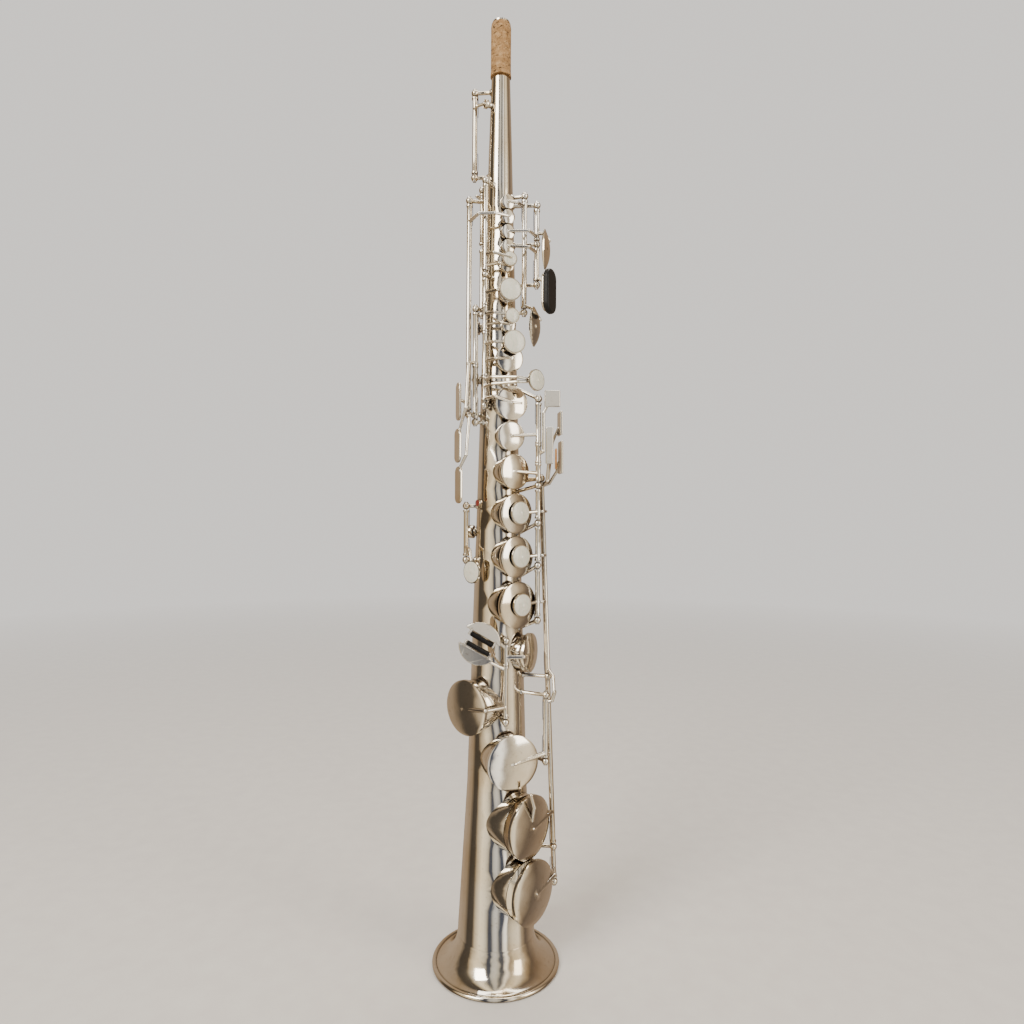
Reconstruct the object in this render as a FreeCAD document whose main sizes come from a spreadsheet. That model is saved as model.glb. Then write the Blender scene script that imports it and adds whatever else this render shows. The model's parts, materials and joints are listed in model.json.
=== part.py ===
import FreeCAD, Part
import Sketcher
import math
import os

# Straight soprano saxophone, standing on its bell rim. The bore runs up +Z from
# the bell rim (origin) to the mouthpiece cork. -Y is the front, where the keys
# are played, +X is the player's left-hand table side. All sizes are millimetres.

Vec = FreeCAD.Vector
doc = FreeCAD.newDocument("soprano_saxophone")
sheet = doc.addObject("Spreadsheet::Sheet", "dims")
size = {}
nodes = {}
UP = Vec(0, 0, 1)


def set_sizes(values):
    """Write plain numbers to the sheet, each under its own alias."""
    for alias, value in values.items():
        row = len(size) + 1
        sheet.set(f"A{row}", alias)
        sheet.set(f"B{row}", str(value))
        sheet.setAlias(f"B{row}", alias)
        size[alias] = value


set_sizes({
    # body tube: outer radius at each station along the bore, and the stations
    "cork_seat_radius": 6.0, "cork_seat_z": 614.0, "neck_top_z": 652.0,
    "shoulder_radius": 6.5, "shoulder_z": 612.0,
    "octave_station_radius": 8.0, "octave_station_z": 564.0,
    "stack_station_radius": 15.4, "stack_station_z": 300.0,
    "low_station_radius": 20.6, "low_station_z": 125.0,
    "bell_joint_radius": 26.6, "bell_joint_z": 22.0,
    "tube_wall": 0.9,
    # bell
    "rim_radius": 42.4, "rim_bead": 1.6, "rim_flat": 0.12, "flare_arc": 22.3,
    # mouthpiece cork
    "cork_radius": 7.0, "cork_low_radius": 7.3, "cork_top_radius": 6.6,
    "cork_straight_z": 618.0, "cork_straight_top_z": 648.0, "cork_top_z": 650.6,
    # hinge rods, hinge tubes and posts
    "rod_radius": 1.0, "hinge_clearance": 0.05, "hinge_radius": 1.7,
    "ball_radius": 2.5, "stem_radius": 1.25, "foot_radius": 2.9,
    "collar_radius": 2.15, "collar_width": 1.4,
    # pad cups, pads and tone holes
    "cup_depth": 2.6, "cup_top": 0.9, "cup_wall": 0.7, "pad_proud": 0.8,
    "pad_gap": 0.06, "pad_clearance": 0.05, "dome_share": 0.13,
    "chimney_inset": 1.5, "chimney_wall": 0.7,
    # touches
    "pearl_height": 1.7, "seat_height": 1.3, "seat_wall": 0.7,
    "arm_radius": 1.25, "arm_tip_radius": 0.9,
    "spear_radius": 1.7, "spear_tip_radius": 0.45,
    # fittings
    "strap_hole_radius": 4.3, "strap_ring_radius": 6.4, "strap_ring_width": 2.6,
    "strap_ring_z": 330.0, "thumb_hook_z": 268.0, "thumb_rest_z": 444.0,
    "pip_radius": 1.9, "pip_bore": 0.8,
    "roller_radius": 1.7, "roller_length": 16.0, "roller_pin_radius": 0.6,
})


def radius_at(z):
    """Outer radius of the conical tube at height z."""
    stations = [
        ("bell_joint_z", "bell_joint_radius"), ("low_station_z", "low_station_radius"),
        ("stack_station_z", "stack_station_radius"),
        ("octave_station_z", "octave_station_radius"), ("shoulder_z", "shoulder_radius"),
    ]
    for (low_z, low_r), (high_z, high_r) in zip(stations, stations[1:]):
        if z <= size[high_z]:
            share = (z - size[low_z]) / (size[high_z] - size[low_z])
            return size[low_r] + share * (size[high_r] - size[low_r])
    return size["shoulder_radius"]


def outward(azimuth):
    """Unit vector away from the bore; azimuth 0 is the front, + goes to +X."""
    turn = math.radians(azimuth)
    return Vec(math.sin(turn), -math.cos(turn), 0)


def point_at(azimuth, distance, z):
    return outward(azimuth) * distance + Vec(0, 0, z)


def radial_place(z, azimuth, distance):
    """Local Z points away from the bore, local X runs up the bore."""
    away = outward(azimuth)
    turn = FreeCAD.Rotation(UP, away.cross(UP), away, "XZY")
    return FreeCAD.Placement(point_at(azimuth, distance, z), turn)


def along(start, end):
    """Placement at start with local Z towards end."""
    return FreeCAD.Placement(start, FreeCAD.Rotation(UP, end - start))


def solid(kind, name, place, **sizes):
    """A Part primitive; a text size is an expression on the sheet."""
    made = doc.addObject("Part::" + kind, name)
    for prop, value in sizes.items():
        if isinstance(value, str):
            made.setExpression(prop, value)
        else:
            setattr(made, prop, value)
    made.Placement = place
    return made


def fuse(name, shapes):
    if len(shapes) == 1:
        return shapes[0]
    made = doc.addObject("Part::MultiFuse", name)
    made.Shapes = shapes
    return made


def cut(name, base, tool):
    made = doc.addObject("Part::Cut", name)
    made.Base = base
    made.Tool = tool
    return made


def keep(made, node):
    """Register an object as the sub-part whose Label names its file."""
    made.Label = node
    nodes[node] = made
    return made


def bent_bar(name, route, wide, thin):
    """Round bar along straight runs, tapering from wide to thin (aliases)."""
    runs = len(route) - 1
    step = f"(dims.{wide} - dims.{thin}) / {runs}"
    pieces = []
    for i, (start, end) in enumerate(zip(route, route[1:])):
        first = f"dims.{wide} - {i} * {step}"
        second = f"dims.{wide} - {i + 1} * {step}"
        pieces.append(solid("Cone", f"{name}_run", along(start, end), Radius1=first,
                            Radius2=second, Height=(end - start).Length))
        heading = (end - start).normalize()
        if i + 1 < runs:
            heading += (route[i + 2] - end).normalize()
        knuckle = FreeCAD.Placement(end, FreeCAD.Rotation(UP, heading))
        pieces.append(solid("Sphere", f"{name}_bend", knuckle, Radius=f"({second}) * 1.06"))
    return pieces


def rounded_plate(name, place, length, width, thickness, corner):
    """Box centred on its place, every edge rounded."""
    middle = FreeCAD.Placement(Vec(-length / 2, -width / 2, -thickness / 2), FreeCAD.Rotation())
    block = solid("Box", f"{name}_block", place.multiply(middle),
                  Length=length, Width=width, Height=thickness)
    block.recompute()
    made = doc.addObject("Part::Fillet", name)
    made.Base = block
    made.Edges = [(edge, corner, corner) for edge in range(1, 13)]
    return made


def oval_plate(name, place, length, width, thickness):
    """Long plate with round ends and softened faces, its underside on its place."""
    end_share, rim_share = 0.485, 0.35
    low = FreeCAD.Placement(Vec(-length / 2, -width / 2, 0), FreeCAD.Rotation())
    block = solid("Box", f"{name}_block", place.multiply(low),
                  Length=length, Width=width, Height=thickness)
    block.recompute()
    normal = place.Rotation.multVec(UP)
    ends = doc.addObject("Part::Fillet", f"{name}_ends")
    ends.Base = block
    upright = [i for i, edge in enumerate(block.Shape.Edges, 1)
               if abs(edge.tangentAt(edge.FirstParameter).dot(normal)) > 0.99]
    ends.Edges = [(i, width * end_share, width * end_share) for i in upright]
    ends.recompute()
    made = doc.addObject("Part::Fillet", name)
    made.Base = ends
    faces = []
    for i, edge in enumerate(ends.Shape.Edges, 1):
        heights = [(vertex.Point - place.Base).dot(normal) for vertex in edge.Vertexes]
        if max(heights) - min(heights) < 0.01:
            faces.append((i, thickness * rim_share, thickness * rim_share))
    made.Edges = faces
    return made


def almond_plate(name, place, length, width, thickness):
    """Plate pointed at both ends, its underside on its place, with a crowned top."""
    reach = (length ** 2 + width ** 2) / (4 * width)
    crown = length * 1.6
    sides = []
    for aside in (-1.0, 1.0):
        centre = FreeCAD.Placement(Vec(0, aside * (reach - width / 2), 0), FreeCAD.Rotation())
        sides.append(solid("Cylinder", f"{name}_side", place.multiply(centre), Radius=reach,
                           Height=thickness))
    sunk = FreeCAD.Placement(Vec(0, 0, thickness - crown), FreeCAD.Rotation())
    sides.append(solid("Sphere", f"{name}_crown", place.multiply(sunk), Radius=crown))
    made = doc.addObject("Part::MultiCommon", name)
    made.Shapes = sides
    return made


# Hinge lines: top point, bottom point, and the heights of the ball posts on them.
def line(x_top, y, z_top, x_low, z_low, posts):
    return {"top": Vec(x_top, y, z_top), "low": Vec(x_low, y, z_low), "posts": posts}


BELL_ROD_TOP_X, BELL_ROD_TOP_Z, BELL_ROD_SLOPE = 29.5, 335.0, 0.0386


def bell_line(y, z_low):
    x_low = BELL_ROD_TOP_X + (BELL_ROD_TOP_Z - z_low) * BELL_ROD_SLOPE
    return line(BELL_ROD_TOP_X, y, BELL_ROD_TOP_Z, x_low, z_low, [BELL_ROD_TOP_Z, z_low])


LINES = {
    "upper_stack": line(-9.5, -14.0, 536.0, -9.5, 384.0, [536.0, 472.5, 384.0]),
    "right_stack": line(27.0, -14.0, 388.5, 27.0, 239.0, [388.5, 330.0, 304.6, 276.0, 239.0]),
    "side_long": line(-21.0, -5.0, 526.0, -21.0, 379.0, [526.0, 379.0]),
    "side_short": line(-16.0, -11.0, 450.0, -16.0, 373.0, [450.0, 373.0]),
    "palm_inner": line(17.0, -6.0, 529.0, 17.0, 449.0, [529.0, 449.0]),
    "palm_outer": line(25.6, -3.0, 524.0, 25.6, 469.0, [524.0, 497.0, 469.0]),
    "octave_upper": line(-18.0, 2.0, 604.0, -18.0, 545.0, [604.0, 545.0]),
    "octave_lower": line(-13.0, 14.5, 542.0, -13.0, 453.0, [542.0, 453.0]),
    "trill": line(-22.0, -6.0, 316.0, -22.0, 279.0, [316.0, 279.0]),
    "front_low": line(6.0, -24.5, 226.8, 6.0, 173.0, [226.8, 173.0]),
    "low_csharp": line(33.0, -16.0, 189.0, 33.0, 144.5, [189.0, 144.5]),
    "bell_csharp": bell_line(-9.0, 200.0),
    "bell_b": bell_line(-4.0, 81.5),
    "bell_bb": bell_line(1.0, 55.0),
}


def on_line(name, z):
    """Point of a hinge line at height z."""
    top, low = LINES[name]["top"], LINES[name]["low"]
    return low + (top - low) * ((z - low.z) / (top.z - low.z))


# Tone holes: height, azimuth, cup radius and rise of the chimney above the tube.
HOLES = {
    "palm_f": (522.0, 23.0, 4.7, 2.6),
    "side_e": (511.8, 23.0, 4.7, 2.6),
    "palm_eb": (501.6, 23.0, 4.7, 2.6),
    "palm_d": (491.4, 23.0, 4.7, 2.6),
    "front_f": (478.0, 20.0, 4.4, 2.6),
    "b": (460.0, 24.0, 7.0, 2.8),
    "bis": (438.0, 24.0, 4.9, 2.8),
    "side_c": (440.0, -95.0, 4.6, 2.2),
    "a": (415.0, 26.0, 9.2, 3.0),
    "side_bb": (404.0, -95.0, 4.6, 2.2),
    "g": (385.0, 29.0, 11.3, 3.2),
    "gsharp": (363.0, 26.0, 9.8, 3.2),
    "fsharp": (339.0, 31.0, 11.8, 3.4),
    "f": (311.0, 33.0, 13.4, 3.6),
    "alt_fsharp": (298.0, -105.0, 4.6, 2.2),
    "e": (282.0, 33.0, 13.8, 3.6),
    "d": (250.0, 33.0, 15.6, 3.8),
    "low_eb": (216.0, 67.0, 13.4, 3.4),
    "low_c": (181.0, -50.0, 18.4, 4.0),
    "low_csharp": (146.0, 24.0, 18.2, 4.4),
    "low_b": (102.5, 45.0, 20.9, 4.6),
    "low_bb": (60.0, 45.0, 20.8, 4.6),
}
for hole, (hole_z, hole_azimuth, cup_radius, rise) in HOLES.items():
    set_sizes({f"{hole}_z": hole_z, f"{hole}_azimuth": hole_azimuth,
               f"{hole}_cup": cup_radius, f"{hole}_rise": rise})


def seat_distance(hole):
    """Distance from the bore axis to the rim that the pad closes."""
    return radius_at(size[f"{hole}_z"]) + size[f"{hole}_rise"]


def cup_top_distance(hole):
    """Distance from the bore axis to the top of the cup's edge."""
    under = size["pad_gap"] + size["pad_proud"]
    return seat_distance(hole) + under + size["cup_depth"]


def tube_corner(radius_name, z_name, inside=False):
    """Corner of a lathe outline: number and sheet expression of each ordinate."""
    wall = size["tube_wall"] if inside else 0.0
    inset = " - dims.tube_wall" if inside else ""
    return (size[radius_name] - wall, size[z_name],
            f"dims.{radius_name}{inset}", f"dims.{z_name}")


def revolved_body(node, corners, arcs):
    """Body turned about the bore from a closed outline in the XZ plane.

    arcs maps the index of an edge to the radius and radius expression of its arc,
    whose middle lies towards the bore.
    """
    body = doc.addObject("PartDesign::Body", node + "_body")
    sketch = body.newObject("Sketcher::SketchObject", node + "_outline")
    planes = [plane for plane in body.Origin.OriginFeatures if plane.Role == "XZ_Plane"]
    sketch.AttachmentSupport = [(planes[0], "")]
    sketch.MapMode = "FlatFace"
    count = len(corners)
    starts = []
    for i in range(count):
        first = Vec(corners[i][0], corners[i][1], 0)
        second = Vec(corners[(i + 1) % count][0], corners[(i + 1) % count][1], 0)
        if i in arcs:
            chord = second - first
            half = chord.Length / 2
            sag = arcs[i][0] - math.sqrt(arcs[i][0] ** 2 - half ** 2)
            aside = Vec(-abs(chord.y), -abs(chord.x), 0).normalize()
            edge = sketch.addGeometry(Part.Arc(first, (first + second) / 2 + aside * sag, second))
        else:
            edge = sketch.addGeometry(Part.LineSegment(first, second))
        flipped = (sketch.getPoint(edge, 1) - first).Length > (sketch.getPoint(edge, 2) - first).Length
        starts.append((edge, 2 if flipped else 1))
    for i, (edge, start) in enumerate(starts):
        before, before_start = starts[i - 1]
        sketch.addConstraint(Sketcher.Constraint("Coincident", before, 3 - before_start, edge, start))
        for kind, value, formula in (("DistanceX", corners[i][0], corners[i][2]),
                                     ("DistanceY", corners[i][1], corners[i][3])):
            held = sketch.addConstraint(Sketcher.Constraint(kind, -1, 1, edge, start, value))
            sketch.setExpression(f"Constraints[{held}]", formula)
        if i in arcs:
            held = sketch.addConstraint(Sketcher.Constraint("Radius", edge, arcs[i][0]))
            sketch.setExpression(f"Constraints[{held}]", arcs[i][1])
    turned = body.newObject("PartDesign::Revolution", node + "_turned")
    turned.Profile = sketch
    turned.ReferenceAxis = (sketch, ["V_Axis"])
    turned.Angle = 360.0
    body.Tip = turned
    doc.recompute()
    return body


def make_envelope():
    """Solid cones that fill the tube to its outer surface."""
    stations = ["bell_joint", "low_station", "stack_station", "octave_station", "shoulder"]
    cones = []
    for low, high in zip(stations, stations[1:]):
        place = FreeCAD.Placement(Vec(0, 0, size[low + "_z"]), FreeCAD.Rotation())
        cones.append(solid("Cone", "envelope_cone", place, Radius1=f"dims.{low}_radius",
                           Radius2=f"dims.{high}_radius",
                           Height=f"dims.{high}_z - dims.{low}_z"))
    return fuse("tube_envelope", cones)


BELL_HOLES = ["low_c", "low_csharp", "low_b", "low_bb"]


def make_chimney_cylinders(name, inset, extra, holes=HOLES):
    """One radial cylinder for each tone hole, from near the bore outwards."""
    near_bore = 2.0
    cylinders = []
    for hole in holes:
        place = radial_place(size[f"{hole}_z"], size[f"{hole}_azimuth"], near_bore)
        cylinders.append(solid("Cylinder", name, place, Radius=f"dims.{hole}_cup - {inset}",
                               Height=seat_distance(hole) - near_bore + extra))
    return cylinders


def make_tube_and_bell():
    outer = ["bell_joint", "low_station", "stack_station", "octave_station", "shoulder"]
    corners = [tube_corner(name + "_radius", name + "_z") for name in outer]
    corners.append(tube_corner("cork_seat_radius", "cork_seat_z"))
    corners.append(tube_corner("cork_seat_radius", "neck_top_z"))
    corners.append(tube_corner("cork_seat_radius", "neck_top_z", inside=True))
    corners.append(tube_corner("cork_seat_radius", "cork_seat_z", inside=True))
    corners += [tube_corner(name + "_radius", name + "_z", inside=True) for name in outer[::-1]]
    tube = revolved_body("main_tube", corners, {})
    bore = "dims.chimney_inset - dims.chimney_wall"
    holes = fuse("tone_holes", make_chimney_cylinders("tone_hole", bore, 1.0) + make_pip_bores())
    keep(cut("drilled_tube", tube, holes), "main_tube")

    flare_end, flare_lift = 0.4, 0.5
    rim_x = f"dims.rim_radius - {flare_end}"
    corners = [
        tube_corner("bell_joint_radius", "bell_joint_z"),
        (size["rim_radius"] - flare_end, size["rim_bead"] + flare_lift, rim_x,
         f"dims.rim_bead + {flare_lift}"),
        (size["rim_radius"] - flare_end, size["rim_bead"] - flare_lift, rim_x,
         f"dims.rim_bead - {flare_lift}"),
        tube_corner("bell_joint_radius", "bell_joint_z", inside=True),
    ]
    wide_arc = size["flare_arc"] + size["tube_wall"]
    arcs = {0: (size["flare_arc"], "dims.flare_arc"),
            2: (wide_arc, "dims.flare_arc + dims.tube_wall")}
    flare = revolved_body("bell_flare", corners, arcs)
    rim_place = FreeCAD.Placement(Vec(0, 0, size["rim_bead"] - size["rim_flat"]), FreeCAD.Rotation())
    bead = solid("Torus", "rim_bead_ring", rim_place, Radius1="dims.rim_radius",
                 Radius2="dims.rim_bead")
    under = FreeCAD.Placement(Vec(0, 0, -3.0), FreeCAD.Rotation())
    ground = solid("Cylinder", "rim_ground", under, Radius="dims.rim_radius * 1.2", Height=3.0)
    keep(cut("rim", bead, ground), "bell_rim")
    keep(cut("trimmed_flare", flare, bead), "bell_flare")


def make_cork():
    """Cork sleeve: a straight stretch between two tapered ends."""
    def stage(z_name, top_name, low_radius, top_radius):
        place = FreeCAD.Placement(Vec(0, 0, size[z_name]), FreeCAD.Rotation())
        return solid("Cone", "cork_stage", place, Height=f"dims.{top_name} - dims.{z_name}",
                     Radius1=f"dims.{low_radius}", Radius2=f"dims.{top_radius}")

    low = stage("cork_seat_z", "cork_straight_z", "cork_low_radius", "cork_radius")
    place = FreeCAD.Placement(Vec(0, 0, size["cork_straight_z"]), FreeCAD.Rotation())
    middle = solid("Cylinder", "cork_stage", place, Radius="dims.cork_radius",
                   Height="dims.cork_straight_top_z - dims.cork_straight_z")
    top = stage("cork_straight_top_z", "cork_top_z", "cork_radius", "cork_top_radius")
    core_place = FreeCAD.Placement(Vec(0, 0, size["cork_seat_z"] - 1), FreeCAD.Rotation())
    core = solid("Cylinder", "cork_core", core_place, Radius="dims.cork_seat_radius",
                 Height="dims.neck_top_z - dims.cork_seat_z + 2")
    keep(cut("cork", fuse("cork_sleeve", [low, middle, top]), core), "neck_cork")


PIPS = {"upper": (592.6, -62.0, 10.2), "lower": (485.0, -160.0, 13.2)}


def make_pip_bores():
    """Radial octave vents, starting inside the bore."""
    inside = 2.0
    return [solid("Cylinder", "vent", radial_place(z, azimuth, inside),
                  Radius="dims.pip_bore", Height=top)
            for z, azimuth, top in PIPS.values()]


def make_chimneys(envelope):
    bore = "dims.chimney_inset - dims.chimney_wall"
    body_holes = [hole for hole in HOLES if hole not in BELL_HOLES]
    for node, holes in (("tone_hole_chimneys", body_holes), ("bell_chimneys", BELL_HOLES)):
        walls = make_chimney_cylinders("chimney", "dims.chimney_inset", 0.0, holes)
        bores = make_chimney_cylinders("chimney_bore", bore, 1.0, holes)
        inner = fuse(node + "_inner", bores + [envelope])
        keep(cut(node + "_cut", fuse(node + "_walls", walls), inner), node)
    pips = []
    for z, azimuth, top in PIPS.values():
        inside = 2.0
        pips.append(solid("Cylinder", "pip", radial_place(z, azimuth, inside),
                          Radius="dims.pip_radius", Height=top - inside))
    vents = fuse("pip_inner", make_pip_bores() + [envelope])
    keep(cut("pips", fuse("pip_walls", pips), vents), "octave_pips")


# Posts whose foot isn't straight below the ball: (line, ball height) to foot height, azimuth.
FEET = {
    ("right_stack", 388.5): (398.0, 62.0), ("right_stack", 330.0): (325.8, 62.0),
    ("right_stack", 304.6): (296.7, 62.0), ("right_stack", 276.0): (267.0, 62.0),
    ("right_stack", 239.0): (232.5, 62.0), ("low_csharp", 144.5): (144.5, 93.0),
    ("bell_csharp", 335.0): (333.0, 87.0), ("bell_b", 335.0): (335.0, 91.0),
    ("bell_bb", 335.0): (335.0, 98.0), ("bell_bb", 55.0): (55.0, 105.0),
}


def make_posts_and_rods(envelope):
    """Ball posts soldered to the tube, with a steel rod through each row of them."""
    rod_reach, foot_height = 2.2, 1.0
    rods, posts = [], []
    for name, row in LINES.items():
        way = (row["top"] - row["low"]).normalize()
        start, end = row["low"] - way * rod_reach, row["top"] + way * rod_reach
        rods.append(solid("Cylinder", "rod", along(start, end), Radius="dims.rod_radius",
                          Height=(end - start).Length))
        for z in row["posts"]:
            ball = on_line(name, z)
            straight = math.degrees(math.atan2(ball.x, -ball.y))
            foot_z, azimuth = FEET.get((name, z), (z, straight))
            foot = point_at(azimuth, radius_at(foot_z) - 1.0, foot_z)
            here = FreeCAD.Placement(ball, FreeCAD.Rotation())
            posts.append(solid("Sphere", "ball", here, Radius="dims.ball_radius"))
            posts.append(solid("Cylinder", "stem", along(foot, ball), Radius="dims.stem_radius",
                               Height=(ball - foot).Length))
            posts.append(solid("Cone", "foot", radial_place(foot_z, azimuth, radius_at(foot_z) - 1.2),
                               Radius1="dims.foot_radius", Radius2="dims.foot_radius * 0.6",
                               Height=1.2 + foot_height))
    rod_group = fuse("rods", rods)
    chimneys = make_chimney_cylinders("chimney_fill", "dims.chimney_inset", 0.0)
    taken = fuse("posts_taken", [rod_group, envelope] + chimneys)
    keep(cut("ball_posts", fuse("post_set", posts), taken), "ball_posts")
    keep(rod_group, "hinge_rods")


def make_back_fittings(envelope):
    """Strap ring, thumb hook and thumb rest on the back of the tube."""
    back, foot_height = 180.0, 1.6

    def foot(z, radius):
        return solid("Cylinder", "fitting_foot", radial_place(z, back, radius_at(z) - 1.0),
                     Radius=radius, Height=1.0 + foot_height)

    ring_z = size["strap_ring_z"]
    centre_y = radius_at(ring_z) + foot_height + size["strap_ring_radius"] - 0.8
    side = Vec(-size["strap_ring_width"] / 2, centre_y, ring_z)
    place = along(side, side + Vec(1, 0, 0))
    ring = solid("Cylinder", "ring", place, Radius="dims.strap_ring_radius",
                 Height="dims.strap_ring_width")
    eye = solid("Cylinder", "ring_eye", place, Radius="dims.strap_hole_radius",
                Height="dims.strap_ring_width")
    taken = fuse("ring_taken", [eye, envelope])
    keep(cut("strap_ring_cut", fuse("ring_set", [ring, foot(ring_z, 5.0)]), taken), "strap_ring")

    hook_z = size["thumb_hook_z"]
    root_y = radius_at(hook_z)
    route = [Vec(0, root_y, hook_z), Vec(0, root_y + 7, hook_z + 1), Vec(0, root_y + 13, hook_z - 4),
             Vec(0, root_y + 15, hook_z - 12)]
    hook = bent_bar("hook", route, "ball_radius", "hinge_radius")
    keep(cut("hook_cut", fuse("hook_set", hook + [foot(hook_z, 6.0)]), envelope), "thumb_hook")

    rest_z = size["thumb_rest_z"]
    pad = solid("Cylinder", "rest_pad", radial_place(rest_z, back, radius_at(rest_z) - 1.0),
                Radius=5.5, Height=1.0 + foot_height)
    crown, half_width = 1.4, 5.5
    ball = (half_width ** 2 + crown ** 2) / (2 * crown)
    dome_place = radial_place(rest_z, back, radius_at(rest_z) + foot_height - (ball - crown))
    dome = solid("Sphere", "rest_dome", dome_place, Radius=ball, Angle2=90.0,
                 Angle1=math.degrees(math.asin((ball - crown) / ball)))
    keep(cut("rest_cut", fuse("rest_set", [pad, dome]), envelope), "thumb_rest")


KEYS = []


class Key:
    """One key: metal pieces about a hinge line, posed open by some degrees at rest."""

    def __init__(self, name, row, low, high, hole=None, opening=0.0, sense=1.0):
        self.name, self.row, self.hole, self.opening = name, row, hole, opening
        way = (LINES[row]["top"] - LINES[row]["low"]).normalize()
        middle = on_line(row, (low + high) / 2)
        self.sense = self.lift_sense(way, middle) if hole else sense
        turn = FreeCAD.Rotation(way, opening * self.sense)
        self.middle = middle
        self.axis = way * (-self.sense if opening else self.sense)
        KEYS.append(self)
        self.rest = FreeCAD.Placement(Vec(), turn, middle)
        self.metal = []
        start, end = on_line(row, low), on_line(row, high)
        self.span = (start, end)
        self.add("Cylinder", along(start, end), Radius="dims.hinge_radius",
                 Height=(end - start).Length)
        for place in (along(start, end), along(end, start)):
            self.add("Cylinder", place, Radius="dims.collar_radius",
                     Height="dims.collar_width")

    def lift_sense(self, way, middle):
        """+1 where a positive turn about the hinge lifts the pad off its hole."""
        away = outward(size[f"{self.hole}_azimuth"])
        reach = away * seat_distance(self.hole) - Vec(middle.x, middle.y, 0)
        return 1.0 if way.cross(reach).dot(away) > 0 else -1.0

    def add(self, kind, place, **sizes):
        self.metal.append(solid(kind, self.name + "_piece", self.rest.multiply(place), **sizes))

    def bar(self, route, wide="arm_radius", thin="arm_tip_radius"):
        """Bent bar through the route's points."""
        posed = [self.rest.multVec(point) for point in route]
        self.metal += bent_bar(self.name + "_bar", posed, wide, thin)

    def plate(self, place, length, width, thickness=1.8, corner=0.7):
        self.metal.append(rounded_plate(self.name + "_plate", self.rest.multiply(place),
                                        length, width, thickness, corner))

    def oval(self, place, length, width, thickness=1.8):
        self.metal.append(oval_plate(self.name + "_touch", self.rest.multiply(place),
                                     length, width, thickness))

    def almond(self, place, length, width, thickness=2.0):
        self.metal.append(almond_plate(self.name + "_touch", self.rest.multiply(place),
                                       length, width, thickness))

    def hinge_point(self, z):
        return on_line(self.row, z)

    def cup_arm(self, z, over=None, tip=0.0, wide="arm_radius", thin="arm_tip_radius"):
        """Arm from the hinge over the edge of the cup to its middle, or past it by tip."""
        azimuth, cup = size[f"{self.hole}_azimuth"], size[f"{self.hole}_cup"]
        away = outward(azimuth)
        start = self.hinge_point(z)
        flat = Vec(start.x, start.y, 0)
        aside = flat - away * flat.dot(away)
        aside.normalize()
        rim_top = cup_top_distance(self.hole)
        crown = away * (rim_top + cup * size["dome_share"] * 0.75)
        height = Vec(0, 0, size[f"{self.hole}_z"])
        elbow = away * (rim_top + 0.9) + aside * (cup + 1.3)
        route = [start]
        route += over or []
        if flat.dot(away) < rim_top - 0.5 and not over:
            route.append(elbow + Vec(0, 0, z))
        route.append(crown + height)
        if tip:
            route.append(away * (rim_top + 0.5) - aside * tip + height)
        self.bar(route, wide, thin)

    def make_cup(self, padded=False):
        """Domed pad cup; a padded cup is hollow below and takes a separate pad."""
        hole = self.hole
        z, azimuth = size[f"{hole}_z"], size[f"{hole}_azimuth"]
        under = size["pad_gap"] + size["pad_proud"]
        radius = f"dims.{hole}_cup"
        low = seat_distance(hole) + (under if padded else size["pad_gap"])
        depth = "dims.cup_depth" if padded else "dims.cup_depth + dims.pad_proud"
        self.add("Cylinder", radial_place(z, azimuth, low), Radius=radius, Height=depth)
        cup = size[f"{hole}_cup"]
        rise = cup * size["dome_share"]
        ball = (cup ** 2 + rise ** 2) / (2 * rise)
        centre = cup_top_distance(hole) - (ball - rise)
        self.add("Sphere", radial_place(z, azimuth, centre), Radius=ball,
                 Angle1=math.degrees(math.asin((ball - rise) / ball)), Angle2=90.0)

    def pearl_seat(self, z, azimuth, distance, radius):
        """Shallow metal ring cup for a pearl; returns the pearl's place."""
        place = radial_place(z, azimuth, distance)
        self.add("Cylinder", place, Radius=f"{radius} + dims.seat_wall",
                 Height="dims.seat_height")
        return radial_place(z, azimuth, distance + size["seat_height"] - 0.5)

    def make_pearl(self, place, radius):
        """Round pearl: a short edge under a low dome, set in its ring cup."""
        place = self.rest.multiply(place)
        edge = 0.9
        disc = solid("Cylinder", "pearl_edge", place, Radius=radius, Height=edge)
        rise = size["pearl_height"] - edge
        ball = (radius ** 2 + rise ** 2) / (2 * rise)
        centre = FreeCAD.Placement(Vec(0, 0, edge - (ball - rise)), FreeCAD.Rotation())
        dome = solid("Sphere", "pearl_dome", place.multiply(centre), Radius=ball,
                     Angle1=math.degrees(math.asin((ball - rise) / ball)), Angle2=90.0)
        return fuse("pearl_solid", [disc, dome])

    def finish(self, pearl=None, padded=False):
        """Bore the hinge, sink the pearl and hollow the cup, then keep the nodes."""
        start, end = self.span
        reach = (end - start).normalize() * 4.0
        bore = solid("Cylinder", "hinge_bore", along(start - reach, end + reach),
                     Radius="dims.rod_radius + dims.hinge_clearance",
                     Height=(end - start).Length + 8.0)
        taken = [bore]
        if pearl:
            place, radius = pearl
            stone = self.make_pearl(place, radius)
            taken.append(stone)
            keep(stone, self.name + "_pearl")
        if padded:
            hole = self.hole
            inner = f"dims.{hole}_cup - dims.cup_wall"
            depth = "dims.cup_depth - dims.cup_top + dims.pad_proud"
            low = seat_distance(hole) + size["pad_gap"]
            place = self.rest.multiply(radial_place(size[f"{hole}_z"], size[f"{hole}_azimuth"], low))
            taken.append(solid("Cylinder", "cup_hollow", place, Radius=inner, Height=depth))
            pad = solid("Cylinder", "pad", place, Radius=f"{inner} - dims.pad_clearance",
                        Height=depth)
            keep(pad, self.name + "_pad")
        keep(cut(self.name + "_cut", fuse(self.name + "_metal", self.metal),
                 fuse(self.name + "_taken", taken)), self.name + "_key")


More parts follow.
